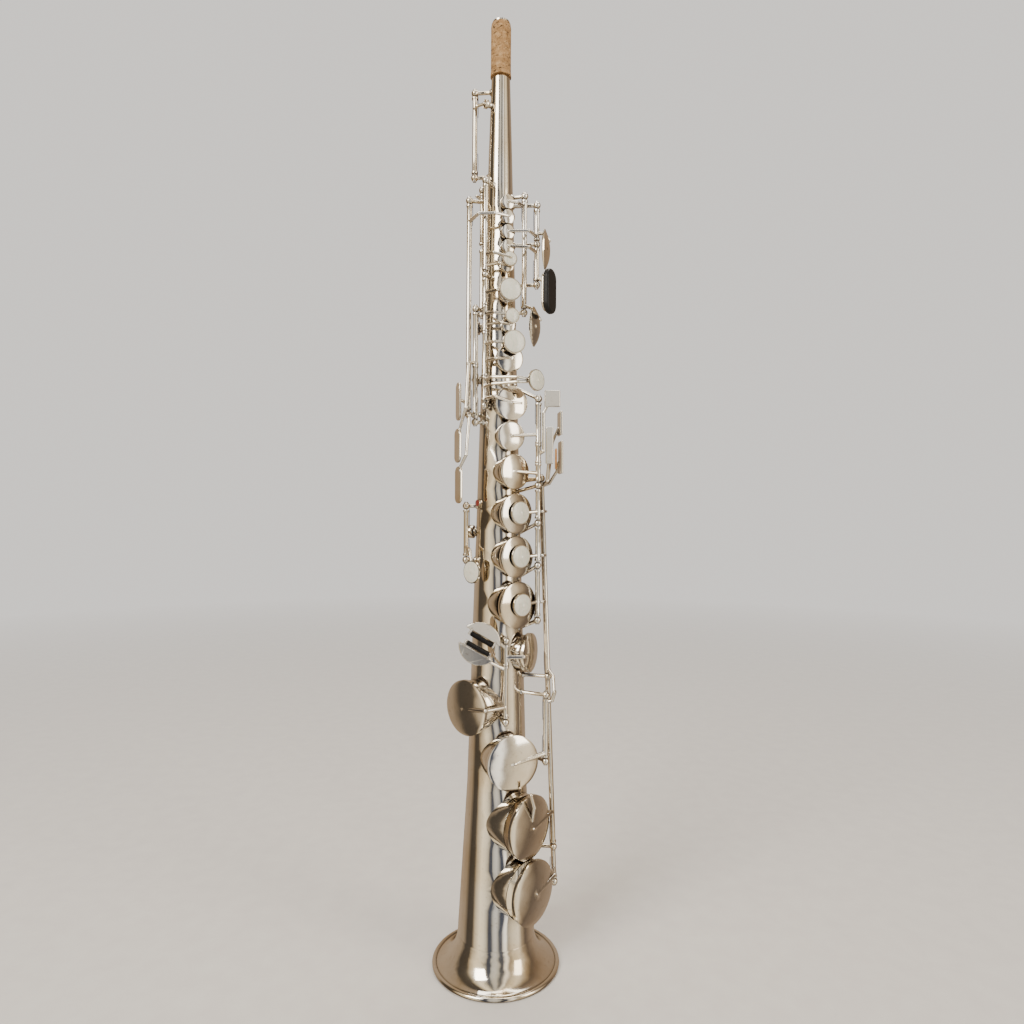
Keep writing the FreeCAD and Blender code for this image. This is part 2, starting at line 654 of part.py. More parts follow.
def make_palm_keys():
    key = Key("palm_f", "palm_inner", 452.0, 526.0, "palm_f")
    key.make_cup()
    key.cup_arm(522.0)
    key.bar([key.hinge_point(454.0), Vec(23.5, -11.0, 450.0), Vec(28.0, -13.5, 442.0)])
    key.almond(radial_place(436.0, 50.0, 30.4), 29.0, 10.4)
    key.finish()

    key = Key("palm_eb", "palm_outer", 499.8, 521.0, "palm_eb")
    key.make_cup()
    key.cup_arm(502.5, over=[Vec(20.0, -13.5, 502.5)])
    key.bar([key.hinge_point(505.0), Vec(31.0, -6.5, 503.0), Vec(34.0, -9.5, 497.0)])
    key.almond(radial_place(489.0, 62.0, 34.6), 30.0, 10.0)
    key.finish()

    key = Key("palm_d", "palm_outer", 472.0, 494.0, "palm_d")
    key.make_cup()
    key.cup_arm(491.4, over=[Vec(20.0, -13.5, 491.4)])
    key.bar([key.hinge_point(474.0), Vec(30.0, -6.0, 471.0), Vec(34.0, -9.0, 468.0)])
    key.oval(radial_place(460.0, 62.0, 34.6), 26.0, 11.0)
    riser = oval_plate("riser", radial_place(460.0, 62.0, 36.4), 30.0, 14.0, 4.2)
    keep(riser, "palm_d_riser")
    key.finish()


def make_side_keys():
    key = Key("side_e", "side_long", 381.8, 523.2, "side_e")
    key.make_cup()
    key.cup_arm(511.8, over=[Vec(-14.0, -18.5, 511.8), Vec(-3.0, -19.5, 511.8)])
    key.bar([key.hinge_point(386.0), Vec(-25.0, -8.0, 388.0), Vec(-27.5, -10.0, 388.0)])
    key.oval(radial_place(387.0, -69.0, 28.4), 26.0, 8.6)
    key.finish()

    key = Key("side_c", "side_short", 412.0, 447.2, "side_c")
    key.make_cup()
    key.cup_arm(440.0, over=[point_at(-77.0, 17.2, 440.0)])
    key.bar([key.hinge_point(414.0), Vec(-20.5, -14.5, 412.0), Vec(-22.0, -16.0, 382.0),
             Vec(-26.5, -15.0, 366.0)])
    key.oval(radial_place(356.5, -62.0, 30.1), 23.0, 8.6)
    key.finish()

    key = Key("side_bb", "side_short", 375.8, 411.6, "side_bb")
    key.make_cup()
    key.cup_arm(404.0, over=[point_at(-77.0, 17.2, 404.0)])
    key.bar([key.hinge_point(379.0), Vec(-19.6, -16.8, 376.5), Vec(-21.4, -18.8, 350.0),
             Vec(-26.5, -16.5, 340.0)])
    key.oval(radial_place(330.0, -59.0, 30.1), 25.0, 8.6)
    key.finish()


def crown_distance(hole):
    """Distance from the bore to the middle of a cup's dome."""
    return cup_top_distance(hole) + size[f"{hole}_cup"] * size["dome_share"]


def make_upper_stack():
    key = Key("front_f", "upper_stack", 475.5, 533.2, "front_f", opening=6.0)
    key.make_cup()
    key.cup_arm(478.5)
    seat = key.pearl_seat(481.5, 24.0, crown_distance("front_f") + 0.9, 4.3)
    key.bar([key.hinge_point(486.0), Vec(-3.0, -20.0, 485.0), point_at(24.0, 20.6, 482.0)])
    key.finish(pearl=(seat, 4.3))

    key = Key("b", "upper_stack", 452.0, 469.6, "b", opening=7.0)
    key.make_cup()
    key.cup_arm(460.0)
    seat = key.pearl_seat(460.8, 25.0, crown_distance("b") + 0.6, 6.9)
    key.finish(pearl=(seat, 6.9))

    key = Key("bis", "upper_stack", 434.0, 451.4, "bis", opening=6.0)
    key.make_cup()
    key.cup_arm(438.5)
    seat = key.pearl_seat(443.2, 28.0, crown_distance("bis") + 0.9, 4.4)
    key.bar([key.hinge_point(446.0), Vec(-2.0, -20.5, 445.0), point_at(28.0, 20.8, 443.4)])
    key.finish(pearl=(seat, 4.4))

    key = Key("a", "upper_stack", 404.0, 433.6, "a", opening=7.0)
    key.make_cup()
    key.cup_arm(414.0)
    seat = key.pearl_seat(425.0, 29.0, 22.8, 7.1)
    key.bar([key.hinge_point(425.5), Vec(-2.0, -21.5, 425.3), point_at(29.0, 22.9, 425.0)])
    key.finish(pearl=(seat, 7.1))

    key = Key("g", "upper_stack", 387.2, 403.6, "g", opening=6.5)
    key.make_cup()
    key.cup_arm(388.5, tip=6.0)
    seat = key.pearl_seat(399.0, 50.0, 33.5, 6.4)
    key.bar([key.hinge_point(401.5), Vec(-3.0, -22.5, 401.5), Vec(14.0, -26.5, 400.5),
             point_at(50.0, 33.8, 399.0)])
    key.bar([key.hinge_point(396.5), Vec(-3.0, -22.0, 397.0), Vec(14.0, -26.0, 397.5),
             point_at(50.0, 33.8, 398.0)])
    key.finish(pearl=(seat, 6.4))


def make_right_stack():
    key = Key("gsharp", "right_stack", 358.2, 385.6, "gsharp")
    key.make_cup()
    key.cup_arm(364.5)
    key.finish()

    key = Key("gsharp_lever", "right_stack", 345.2, 357.8)
    key.bar([key.hinge_point(351.0), Vec(30.4, -16.0, 353.0), Vec(30.4, -16.0, 379.0),
             Vec(33.5, -17.0, 385.0)])
    table = FreeCAD.Placement(Vec(36.2, -17.0, 388.3), FreeCAD.Rotation(Vec(1, 0, 0), 90.0))
    key.plate(table, 10.6, 11.2, 1.8)
    key.finish()

    for name, low, high, arm_z, tip in (("fsharp", 333.0, 344.8, 338.3, 3.0),
                                        ("f", 307.6, 327.1, 312.5, 4.0),
                                        ("e", 279.0, 301.7, 282.8, 3.0),
                                        ("d", 242.0, 273.1, 251.5, 4.0)):
        opening = {"fsharp": 8.0, "f": 8.0, "e": 8.0, "d": 8.5}[name]
        key = Key(name, "right_stack", low, high, name, opening=opening)
        key.make_cup(padded=True)
        key.cup_arm(arm_z, tip=tip)
        pearl = None
        if name != "fsharp":
            tail = key.hinge_point(arm_z)
            key.bar([tail, tail + Vec(3.2, -1.0, 0), tail + Vec(5.6, 0.6, 0)])
            seat = key.pearl_seat(size[f"{name}_z"] + 0.5, size[f"{name}_azimuth"],
                                  crown_distance(name) + 0.7, 7.0)
            pearl = (seat, 7.0)
        key.finish(pearl=pearl, padded=True)


def make_trill_key():
    key = Key("alt_fsharp", "trill", 281.8, 313.2, "alt_fsharp")
    key.make_cup()
    key.cup_arm(298.0)
    seat = key.pearl_seat(271.6, -44.0, 24.0, 7.0)
    key.bar([key.hinge_point(288.0), Vec(-19.0, -13.5, 286.0), point_at(-44.0, 24.2, 272.0)])
    key.finish(pearl=(seat, 7.0))


def make_octave_keys():
    for name, row, low, high, arm_z in (("upper_octave", "octave_upper", 548.0, 601.2, 592.6),
                                        ("lower_octave", "octave_lower", 456.0, 499.0, 485.0)):
        vent = name.split("_")[0]
        z, azimuth, top = PIPS[vent]
        key = Key(name, row, low, high, sense=-1.0 if vent == "upper" else 1.0)
        key.add("Cylinder", radial_place(z, azimuth, top + 0.06), Radius=2.9, Height=2.2)
        crown = point_at(azimuth, top + 2.4, z)
        start = key.hinge_point(arm_z)
        key.bar([start, (start + crown) / 2 + outward(azimuth) * 2.0, crown])
        if vent == "upper":
            key.bar([key.hinge_point(549.5), Vec(-17.6, 5.0, 549.5), Vec(-16.8, 7.0, 549.5)],
                    "arm_tip_radius", "arm_tip_radius")
        key.finish()

    key = Key("octave_lever", "octave_lower", 503.0, 539.2, sense=-1.0)
    key.bar([key.hinge_point(535.0), Vec(-16.8, 12.6, 537.0), Vec(-16.9, 10.6, 549.5)])
    key.bar([key.hinge_point(509.0), Vec(-6.4, 19.6, 507.0), Vec(1.3, 20.6, 496.0),
             Vec(1.2, 18.3, 471.0)])
    table = FreeCAD.Placement(Vec(1.0, 18.0, 465.5), FreeCAD.Rotation(Vec(1, 0, 0), 90.0))
    key.plate(table, 11.0, 19.0, 2.0, 0.8)
    key.finish()


def make_front_touches():
    """Low E flat and low C: two halves of a round touch, with a roller on each side."""
    for name, low, high, arm_z in (("low_eb", 210.4, 223.9, 216.0), ("low_c", 175.8, 210.0, 183.0)):
        opening = 7.0 if name == "low_c" else 0.0
        key = Key(name, "front_low", low, high, name, opening=opening)
        key.make_cup(padded=True)
        key.cup_arm(arm_z, tip=13.0 if name == "low_c" else 5.0, wide="spear_radius",
                    thin="spear_tip_radius")
        make_split_touch(key, 1.0 if name == "low_eb" else -1.0)
        key.finish(padded=True)


TOUCH_CENTRE = Vec(-11.5, -29.0, 226.0)
TOUCH_TILT, TOUCH_RADIUS, TOUCH_THICKNESS = 30.0, 14.0, 2.0
SLOT_HALF, ROLLER_OFFSET, ROLLER_LIFT = 5.2, 3.2, 1.4


def touch_frame():
    """Local X runs along the slot, local Y across it, local Z to the front."""
    tilt = math.radians(TOUCH_TILT)
    slot = Vec(math.cos(tilt), 0, -math.sin(tilt))
    front = Vec(0, -1, 0)
    turn = FreeCAD.Rotation(slot, front.cross(slot), front, "ZXY")
    return FreeCAD.Placement(TOUCH_CENTRE, turn)


def shifted(frame, x, y, z):
    return frame.multiply(FreeCAD.Placement(Vec(x, y, z), FreeCAD.Rotation()))


def make_split_touch(key, side):
    """Half disc with lugs, its arm and its free roller; side is +1 above the slot."""
    frame = touch_frame()
    disc = solid("Cylinder", key.name + "_disc", frame, Radius=TOUCH_RADIUS,
                 Height=TOUCH_THICKNESS)
    low_edge = SLOT_HALF if side > 0 else -SLOT_HALF - 2 * TOUCH_RADIUS
    block = solid("Box", key.name + "_half", shifted(frame, -2 * TOUCH_RADIUS, low_edge, -1.0),
                  Length=4 * TOUCH_RADIUS, Width=2 * TOUCH_RADIUS, Height=TOUCH_THICKNESS + 2)
    half = doc.addObject("Part::Common", key.name + "_half_disc")
    half.Base = disc
    half.Tool = block
    for step in (disc, block, half):
        step.recompute()
    rounded = doc.addObject("Part::Fillet", key.name + "_touch")
    rounded.Base = half
    rounded.Edges = [(i + 1, 0.6, 0.6) for i in range(len(half.Shape.Edges))]
    rounded.recompute()
    touch = doc.addObject("Part::Feature", key.name + "_touch_posed")
    touch.Shape = rounded.Shape.transformGeometry(key.rest.toMatrix())
    key.metal.append(touch)

    start = key.hinge_point(222.0 if side > 0 else 207.5)
    inner = frame.multVec(Vec(7.0 if side > 0 else 4.0, side * (SLOT_HALF + 2.6), 0.6))
    key.bar([start, inner])

    reach = size["roller_length"] / 2 + 0.9
    for end in (-1.0, 1.0):
        key.plate(shifted(frame, end * reach, side * (SLOT_HALF - 1.1), ROLLER_LIFT),
                  1.3, 4.6, 2.4, 0.3)
    pin_place = shifted(frame, -reach, side * ROLLER_OFFSET, ROLLER_LIFT)
    across = FreeCAD.Placement(Vec(), FreeCAD.Rotation(Vec(0, 1, 0), 90.0))
    key.add("Cylinder", pin_place.multiply(across), Radius="dims.roller_pin_radius",
            Height=2 * reach)
    start_place = shifted(frame, -size["roller_length"] / 2, side * ROLLER_OFFSET, ROLLER_LIFT)
    posed = key.rest.multiply(start_place.multiply(across))
    drum = solid("Cylinder", key.name + "_drum", posed, Radius="dims.roller_radius",
                 Height="dims.roller_length")
    hole = solid("Cylinder", key.name + "_drum_hole", posed, Height="dims.roller_length",
                 Radius="dims.roller_pin_radius + dims.hinge_clearance")
    keep(cut(key.name + "_drum_cut", drum, hole), key.name + "_roller")
    ROLLERS[key.name] = (posed.multVec(Vec(0, 0, size["roller_length"] / 2)),
                         posed.Rotation.multVec(UP))


ROLLERS = {}


def make_low_keys():
    key = Key("low_csharp", "low_csharp", 147.3, 186.2, "low_csharp")
    key.make_cup(padded=True)
    key.cup_arm(150.0, tip=10.0, wide="spear_radius", thin="spear_tip_radius")
    key.bar([key.hinge_point(183.5), Vec(37.2, -16.6, 185.5), Vec(38.8, -16.4, 191.0)],
            "arm_radius", "arm_radius")
    key.finish(padded=True)

    key = Key("csharp_lever", "bell_csharp", 203.0, 332.0)
    key.bar([key.hinge_point(330.0), Vec(33.0, -12.5, 333.0), Vec(34.0, -14.6, 346.0)])
    table = FreeCAD.Placement(Vec(34.5, -16.0, 357.0), FreeCAD.Rotation(Vec(1, 0, 0), 90.0))
    key.plate(table, 5.2, 25.0)
    key.bar([key.hinge_point(205.0), Vec(38.0, -14.5, 201.0), Vec(38.4, -20.4, 192.0)])
    key.finish()

    key = Key("low_b", "bell_b", 84.4, 332.0, "low_b", opening=6.5)
    key.make_cup(padded=True)
    key.cup_arm(106.0, tip=8.0, wide="spear_radius", thin="spear_tip_radius")
    key.bar([key.hinge_point(330.0), Vec(34.0, -4.5, 333.5), Vec(36.6, -7.5, 360.0),
             Vec(39.8, -13.0, 369.0)])
    edge_on = FreeCAD.Placement(Vec(40.6, -14.0, 372.0), FreeCAD.Rotation(Vec(0, 1, 0), 90.0))
    key.plate(edge_on, 16.0, 12.0)
    key.bar([point_at(43.0, crown_distance("low_b") - 0.6, 108.0), point_at(40.0, 35.2, 118.0),
             point_at(36.0, 34.6, 126.6)], "arm_radius", "arm_radius")
    key.finish(padded=True)

    key = Key("low_bb", "bell_bb", 57.9, 332.0, "low_bb", opening=6.5)
    key.make_cup(padded=True)
    key.cup_arm(64.0, tip=6.0, wide="spear_radius", thin="spear_tip_radius")
    key.bar([key.hinge_point(330.0), Vec(35.2, 0.0, 332.0), Vec(39.6, -5.0, 340.0),
             Vec(40.0, -10.0, 346.0)])
    edge_on = FreeCAD.Placement(Vec(40.6, -14.0, 349.0), FreeCAD.Rotation(Vec(0, 1, 0), 90.0))
    key.plate(edge_on, 22.0, 12.0)
    key.finish(padded=True)


def check_and_export():
    doc.recompute()
    failed = [thing.Name for thing in doc.Objects
              if "Invalid" in thing.State or "Error" in thing.State]
    if failed:
        raise RuntimeError(f"did not compute: {failed}")
    for node, insert in nodes.items():
        if node.endswith(("_pad", "_pearl")):
            metal = nodes[node[:node.rindex("_")] + "_key"]
            if metal.Shape.common(insert.Shape).Volume > 0.01:
                print("not hollowed for its insert:", node)
    os.makedirs("parts", exist_ok=True)
    for node, thing in nodes.items():
        shape = thing.Shape
        if shape.isNull() or not shape.isValid() or not shape.Solids:
            raise RuntimeError(f"{node} has no valid solid")
        shape.exportStep(f"parts/{node}.step")
    print(len(nodes), "nodes written")


def print_hinges():
    """Name, point and axis of every hinge; each axis turns its key from rest."""
    for key in KEYS:
        print("hinge", key.name, key.opening, *key.middle, *key.axis)
    for name, (middle, axis) in ROLLERS.items():
        print("hinge", name + "_roller", 0.0, *middle, *axis)


def main():
    envelope = make_envelope()
    make_tube_and_bell()
    make_cork()
    make_chimneys(envelope)
    make_posts_and_rods(envelope)
    make_back_fittings(envelope)
    make_palm_keys()
    make_side_keys()
    make_upper_stack()
    make_right_stack()
    make_trill_key()
    make_octave_keys()
    make_front_touches()
    make_low_keys()
    check_and_export()
    print_hinges()


main()
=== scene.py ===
import json
import math

import bmesh
import bpy
from mathutils import Matrix, Vector


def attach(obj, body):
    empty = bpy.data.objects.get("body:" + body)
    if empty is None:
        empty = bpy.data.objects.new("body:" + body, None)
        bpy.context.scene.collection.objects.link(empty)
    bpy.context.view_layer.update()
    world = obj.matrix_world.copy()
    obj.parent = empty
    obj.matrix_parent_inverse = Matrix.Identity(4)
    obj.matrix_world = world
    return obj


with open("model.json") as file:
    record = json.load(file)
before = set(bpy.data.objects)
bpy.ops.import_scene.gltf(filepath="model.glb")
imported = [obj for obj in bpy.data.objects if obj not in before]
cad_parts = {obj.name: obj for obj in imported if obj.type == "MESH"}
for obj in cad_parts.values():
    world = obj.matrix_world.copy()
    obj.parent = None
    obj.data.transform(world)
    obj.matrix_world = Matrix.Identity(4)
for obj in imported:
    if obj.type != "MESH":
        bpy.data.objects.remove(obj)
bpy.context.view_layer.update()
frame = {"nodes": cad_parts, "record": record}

MM = 0.001
NODES = frame["nodes"]


# ---------------------------------------------------------------- materials

class Shade:
    """A node material built up one node at a time."""

    def __init__(self, name):
        self.material = bpy.data.materials.new(name)
        self.material.use_nodes = True
        self.tree = self.material.node_tree
        self.surface = self.tree.nodes["Principled BSDF"]
        self.place = self.node("ShaderNodeTexCoord").outputs["Object"]

    def node(self, kind, **inputs):
        made = self.tree.nodes.new(kind)
        for name, value in inputs.items():
            self.feed(made.inputs[name.replace("_", " ")], value)
        return made

    def feed(self, socket, value):
        if isinstance(value, bpy.types.NodeSocket):
            self.tree.links.new(value, socket)
        else:
            socket.default_value = value

    def stretched(self, x, y, z):
        """Object position with a scale for each axis."""
        mapping = self.node("ShaderNodeMapping", Vector=self.place)
        mapping.inputs["Scale"].default_value = (x, y, z)
        return mapping.outputs["Vector"]

    def noise(self, scale, detail=3.0, roughness=0.5, place=None, distortion=0.0):
        made = self.node("ShaderNodeTexNoise", Vector=place or self.place, Scale=scale,
                         Detail=detail, Roughness=roughness, Distortion=distortion)
        return made.outputs["Fac"]

    def ramp(self, fac, *stops):
        made = self.node("ShaderNodeValToRGB", Fac=fac)
        band = made.color_ramp
        while len(band.elements) < len(stops):
            band.elements.new(0.5)
        for element, (place, color) in zip(band.elements, stops):
            element.position = place
            element.color = (*color, 1.0) if len(color) == 3 else color
        return made.outputs["Color"]

    def levels(self, fac, low, high, dark, light):
        """Grey ramp between two positions, as a number."""
        return self.ramp(fac, (low, (dark,) * 3), (high, (light,) * 3))

    def mix(self, fac, first, second, mode="MIX"):
        made = self.tree.nodes.new("ShaderNodeMix")
        made.data_type = "RGBA"
        made.blend_type = mode
        self.feed(made.inputs["Factor"], fac)
        self.feed(made.inputs["A"], first)
        self.feed(made.inputs["B"], second)
        return made.outputs["Result"]

    def bump(self, height, strength, distance, below=None):
        made = self.node("ShaderNodeBump", Height=height, Strength=strength, Distance=distance)
        if below:
            self.feed(made.inputs["Normal"], below)
        return made.outputs["Normal"]

    def set(self, **inputs):
        for name, value in inputs.items():
            self.feed(self.surface.inputs[name.replace("_", " ")], value)
        return self.material


def rgb(red, green, blue):
    return (red, green, blue, 1.0)


def silver_plate():
    """Old silver plate: warm toning in patches, hairlines, and dark brown in the crevices that is
    partly tarnish and partly painted shade.
    """
    shade = Shade("silver_plate")
    toning = shade.noise(26.0, 4.0, 0.55)
    tone = shade.ramp(toning, (0.34, (0.86, 0.83, 0.77)), (0.50, (0.80, 0.73, 0.60)),
                      (0.66, (0.70, 0.57, 0.38)))
    patches = shade.levels(shade.noise(7.0, 2.0), 0.38, 0.62, 0.25, 0.95)
    body = shade.mix(patches, rgb(0.85, 0.81, 0.74), tone)
    specks = shade.levels(shade.noise(420.0, 4.0, 0.65), 0.60, 0.74, 0.0, 0.45)
    spotted = shade.mix(specks, body, rgb(0.42, 0.33, 0.22))
    # Painted shade with tarnish: dark brown is mixed in where the ambient occlusion node finds
    # surfaces within 6 mm, in crevices, under keys and between parts.
    tarnish_and_shade_occlusion = shade.node("ShaderNodeAmbientOcclusion", Distance=0.006)
    tarnish_and_shade_occlusion.samples = 4
    tarnish_and_shade_depth = shade.levels(tarnish_and_shade_occlusion.outputs["AO"], 0.30, 0.92, 0.95, 0.0)
    color = shade.mix(tarnish_and_shade_depth, spotted, rgb(0.11, 0.075, 0.045))
    hairlines = shade.noise(900.0, 2.0, 0.6, shade.stretched(1.0, 1.0, 0.06))
    smudge = shade.levels(shade.noise(34.0, 5.0, 0.6, distortion=0.4), 0.35, 0.75, 0.055, 0.19)
    fine = shade.bump(hairlines, 0.02, 0.0002)
    dents = shade.bump(shade.noise(60.0, 2.0), 0.07, 0.0008, fine)
    return shade.set(Base_Color=color, Metallic=1.0, Roughness=smudge, Normal=dents)


def rod_steel():
    shade = Shade("rod_steel")
    wear = shade.noise(160.0, 4.0)
    color = shade.ramp(wear, (0.35, (0.62, 0.60, 0.57)), (0.70, (0.34, 0.30, 0.26)))
    turned = shade.noise(700.0, 2.0, 0.5, shade.stretched(0.2, 0.2, 3.0))
    return shade.set(Base_Color=color, Metallic=1.0,
                     Roughness=shade.levels(wear, 0.3, 0.7, 0.22, 0.42),
                     Normal=shade.bump(turned, 0.08, 0.0002))


def mother_of_pearl():
    """Nacre: cloudy layers with faint pink and green bands under a hard gloss."""
    shade = Shade("mother_of_pearl")
    cloud = shade.noise(170.0, 3.0, 0.55, distortion=1.6)
    wave = shade.node("ShaderNodeTexWave", Vector=shade.place, Scale=110.0, Distortion=9.0,
                      Detail=3.0)
    tint = shade.ramp(wave.outputs["Fac"], (0.0, (0.58, 0.63, 0.52)), (0.5, (0.80, 0.76, 0.62)),
                      (1.0, (0.72, 0.66, 0.58)))
    color = shade.mix(shade.levels(cloud, 0.35, 0.68, 0.1, 0.8), rgb(0.83, 0.83, 0.73), tint)
    return shade.set(Base_Color=color, Metallic=0.0, Roughness=0.25, Coat_Weight=0.5,
                     Coat_Roughness=0.06, Subsurface_Weight=0.10, Subsurface_Radius=(1.0, 0.8, 0.6),
                     Subsurface_Scale=0.001, Normal=shade.bump(cloud, 0.05, 0.0003))


def pad_leather():
    shade = Shade("pad_leather")
    grain = shade.node("ShaderNodeTexVoronoi", Vector=shade.place, Scale=2600.0)
    age = shade.noise(240.0, 4.0)
    color = shade.ramp(age, (0.35, (0.035, 0.026, 0.020)), (0.65, (0.16, 0.10, 0.06)))
    return shade.set(Base_Color=color, Roughness=0.62, Specular_IOR_Level=0.35,
                     Normal=shade.bump(grain.outputs["Distance"], 0.25, 0.0003))


def natural_cork():
    """Pale and dark granules, dark lenticels running across, and a chalky surface."""
    shade = Shade("natural_cork")
    grains = shade.node("ShaderNodeTexVoronoi", Vector=shade.place, Scale=900.0)
    body = shade.ramp(shade.noise(330.0, 5.0, 0.7), (0.32, (0.25, 0.135, 0.055)),
                      (0.50, (0.40, 0.235, 0.105)), (0.68, (0.56, 0.37, 0.19)))
    pores = shade.noise(480.0, 3.0, 0.6, shade.stretched(0.55, 0.55, 1.5), 0.8)
    pits = shade.levels(pores, 0.57, 0.65, 0.0, 0.92)
    color = shade.mix(pits, body, rgb(0.045, 0.022, 0.010))
    rough = shade.bump(grains.outputs["Distance"], 0.25, 0.0004)
    pitted = shade.bump(shade.levels(pores, 0.55, 0.66, 1.0, 0.0), 0.6, 0.0005, rough)
    return shade.set(Base_Color=color, Roughness=0.88, Specular_IOR_Level=0.2, Normal=pitted)


def black_rubber():
    shade = Shade("black_rubber")
    haze = shade.noise(260.0, 4.0)
    color = shade.ramp(haze, (0.3, (0.004, 0.004, 0.005)), (0.75, (0.014, 0.013, 0.013)))
    return shade.set(Base_Color=color, Specular_IOR_Level=0.25,
                     Roughness=shade.levels(haze, 0.3, 0.7, 0.34, 0.52),
                     Normal=shade.bump(shade.noise(1500.0, 2.0), 0.06, 0.0002))


def black_gloss():
    shade = Shade("black_gloss")
    haze = shade.noise(200.0, 3.0)
    color = shade.ramp(haze, (0.3, (0.003, 0.003, 0.004)), (0.8, (0.010, 0.009, 0.009)))
    return shade.set(Base_Color=color, Specular_IOR_Level=0.25,
                     Roughness=shade.levels(haze, 0.3, 0.7, 0.22, 0.34))


def felt(name, dark, light):
    shade = Shade(name)
    fuzz = shade.noise(1700.0, 5.0, 0.7)
    return shade.set(Base_Color=shade.ramp(fuzz, (0.35, dark), (0.65, light)), Roughness=0.95,
                     Sheen_Weight=0.35, Normal=shade.bump(fuzz, 0.5, 0.0004))


def blued_spring():
    shade = Shade("blued_spring")
    color = shade.ramp(shade.noise(300.0), (0.35, (0.05, 0.06, 0.10)), (0.7, (0.12, 0.11, 0.13)))
    return shade.set(Base_Color=color, Metallic=1.0, Roughness=0.3)


FINISH = {
    "silver": silver_plate(), "rod_steel": rod_steel(), "pearl": mother_of_pearl(),
    "pad_leather": pad_leather(), "cork": natural_cork(), "black_rubber": black_rubber(),
    "black_roller": black_gloss(),
}
RED_FELT = felt("red_felt", (0.14, 0.012, 0.008), (0.34, 0.04, 0.02))
KEY_CORK = felt("key_cork", (0.30, 0.12, 0.035), (0.62, 0.32, 0.11))
SPRING = blued_spring()

SLOT_OF = {part["node"]: part["material_slot"] for part in frame["record"]["subparts"]}


def dress_nodes():
    """Every CAD node takes its finish; metal edges are softened where they are sharp."""
    for name, thing in NODES.items():
        slot = SLOT_OF[name]
        thing.data.materials.clear()
        thing.data.materials.append(FINISH[slot])
        if slot == "silver" and name not in ("main_tube", "bell_rim"):
            soften(thing, 0.22 * MM)
        elif slot in ("black_rubber", "pearl"):
            soften(thing, 0.3 * MM)


def soften(thing, width):
    weld = thing.modifiers.new("weld", "WELD")
    weld.merge_threshold = 0.000002
    bevel = thing.modifiers.new("edge", "BEVEL")
    bevel.width = width
    bevel.segments = 2
    bevel.limit_method = "ANGLE"
    bevel.angle_limit = math.radians(40.0)
    bevel.use_clamp_overlap = True


# ---------------------------------------------------------------- mesh helpers

def piece(name, mesh_data, finish, body, smooth=True):
    thing = bpy.data.objects.new(name, mesh_data)
    bpy.context.scene.collection.objects.link(thing)
    mesh_data.materials.append(finish)
    if smooth:
        for face in mesh_data.polygons:
            face.use_smooth = True
    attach(thing, body)
    return thing


def aligned(axis):
    """Rotation that turns local Z to the axis."""
    return Vector(axis).to_track_quat("Z", "Y").to_matrix().to_4x4()


def lathe(name, outline, base, axis, steps=28):
    """Closed turned mesh: outline is (radius, height) pairs from axis to axis."""
    shape = bmesh.new()
    place = Matrix.Translation(base) @ aligned(axis)
    rings = []
    for radius, height in outline:
        if radius == 0.0:
            rings.append([shape.verts.new(place @ Vector((0, 0, height)))])
            continue
        ring = []
        for i in range(steps):
            turn = 2 * math.pi * i / steps
            ring.append(shape.verts.new(place @ Vector((radius * math.cos(turn),
                                                        radius * math.sin(turn), height))))
        rings.append(ring)
    for low, high in zip(rings, rings[1:]):
        for i in range(steps):
            j = (i + 1) % steps
            if len(low) == 1:
                shape.faces.new((low[0], high[j], high[i]))
            elif len(high) == 1:
                shape.faces.new((low[i], low[j], high[0]))
            else:
                shape.faces.new((low[i], low[j], high[j], high[i]))
    bmesh.ops.recalc_face_normals(shape, faces=shape.faces)
    data = bpy.data.meshes.new(name)
    shape.to_mesh(data)
    shape.free()
    return data


def wire(name, points, radius, finish, body):
    """Round wire along a smooth line."""
    curve = bpy.data.curves.new(name, "CURVE")
    curve.dimensions = "3D"
    curve.bevel_depth = radius
    curve.bevel_resolution = 2
    curve.use_fill_caps = True
    spline = curve.splines.new("NURBS")
    spline.points.add(len(points) - 1)
    for point, place in zip(spline.points, points):
        point.co = (*place, 1.0)
    spline.order_u = 3
    spline.use_endpoint_u = True
    curve.materials.append(finish)
    thing = bpy.data.objects.new(name, curve)
    bpy.context.scene.collection.objects.link(thing)
    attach(thing, body)
    return thing


def islands(node):
    """Lists of the points of each separate solid in a CAD node."""
    data = NODES[node].data
    shape = bmesh.new()
    shape.from_mesh(data)
    bmesh.ops.remove_doubles(shape, verts=shape.verts, dist=0.000002)
    seen, groups = set(), []
    for start in shape.verts:
        if start in seen:
            continue
        stack, group = [start], []
        seen.add(start)
        while stack:
            vertex = stack.pop()
            group.append(vertex.co.copy())
            for edge in vertex.link_edges:
                other = edge.other_vert(vertex)
                if other not in seen:
                    seen.add(other)
                    stack.append(other)
        groups.append(group)
    shape.free()
    return groups


def rod_ends():
    """Top and bottom centre of each hinge rod, read from the rods' node."""
    ends = []
    for group in islands("hinge_rods"):
        top_z = max(point.z for point in group)
        low_z = min(point.z for point in group)
        top = [point for point in group if point.z > top_z - 0.0004]
        low = [point for point in group if point.z < low_z + 0.0004]
        ends.append((sum(top, Vector()) / len(top), sum(low, Vector()) / len(low)))
    return sorted(ends, key=lambda pair: tuple(pair[0]))


# ---------------------------------------------------------------- small hardware

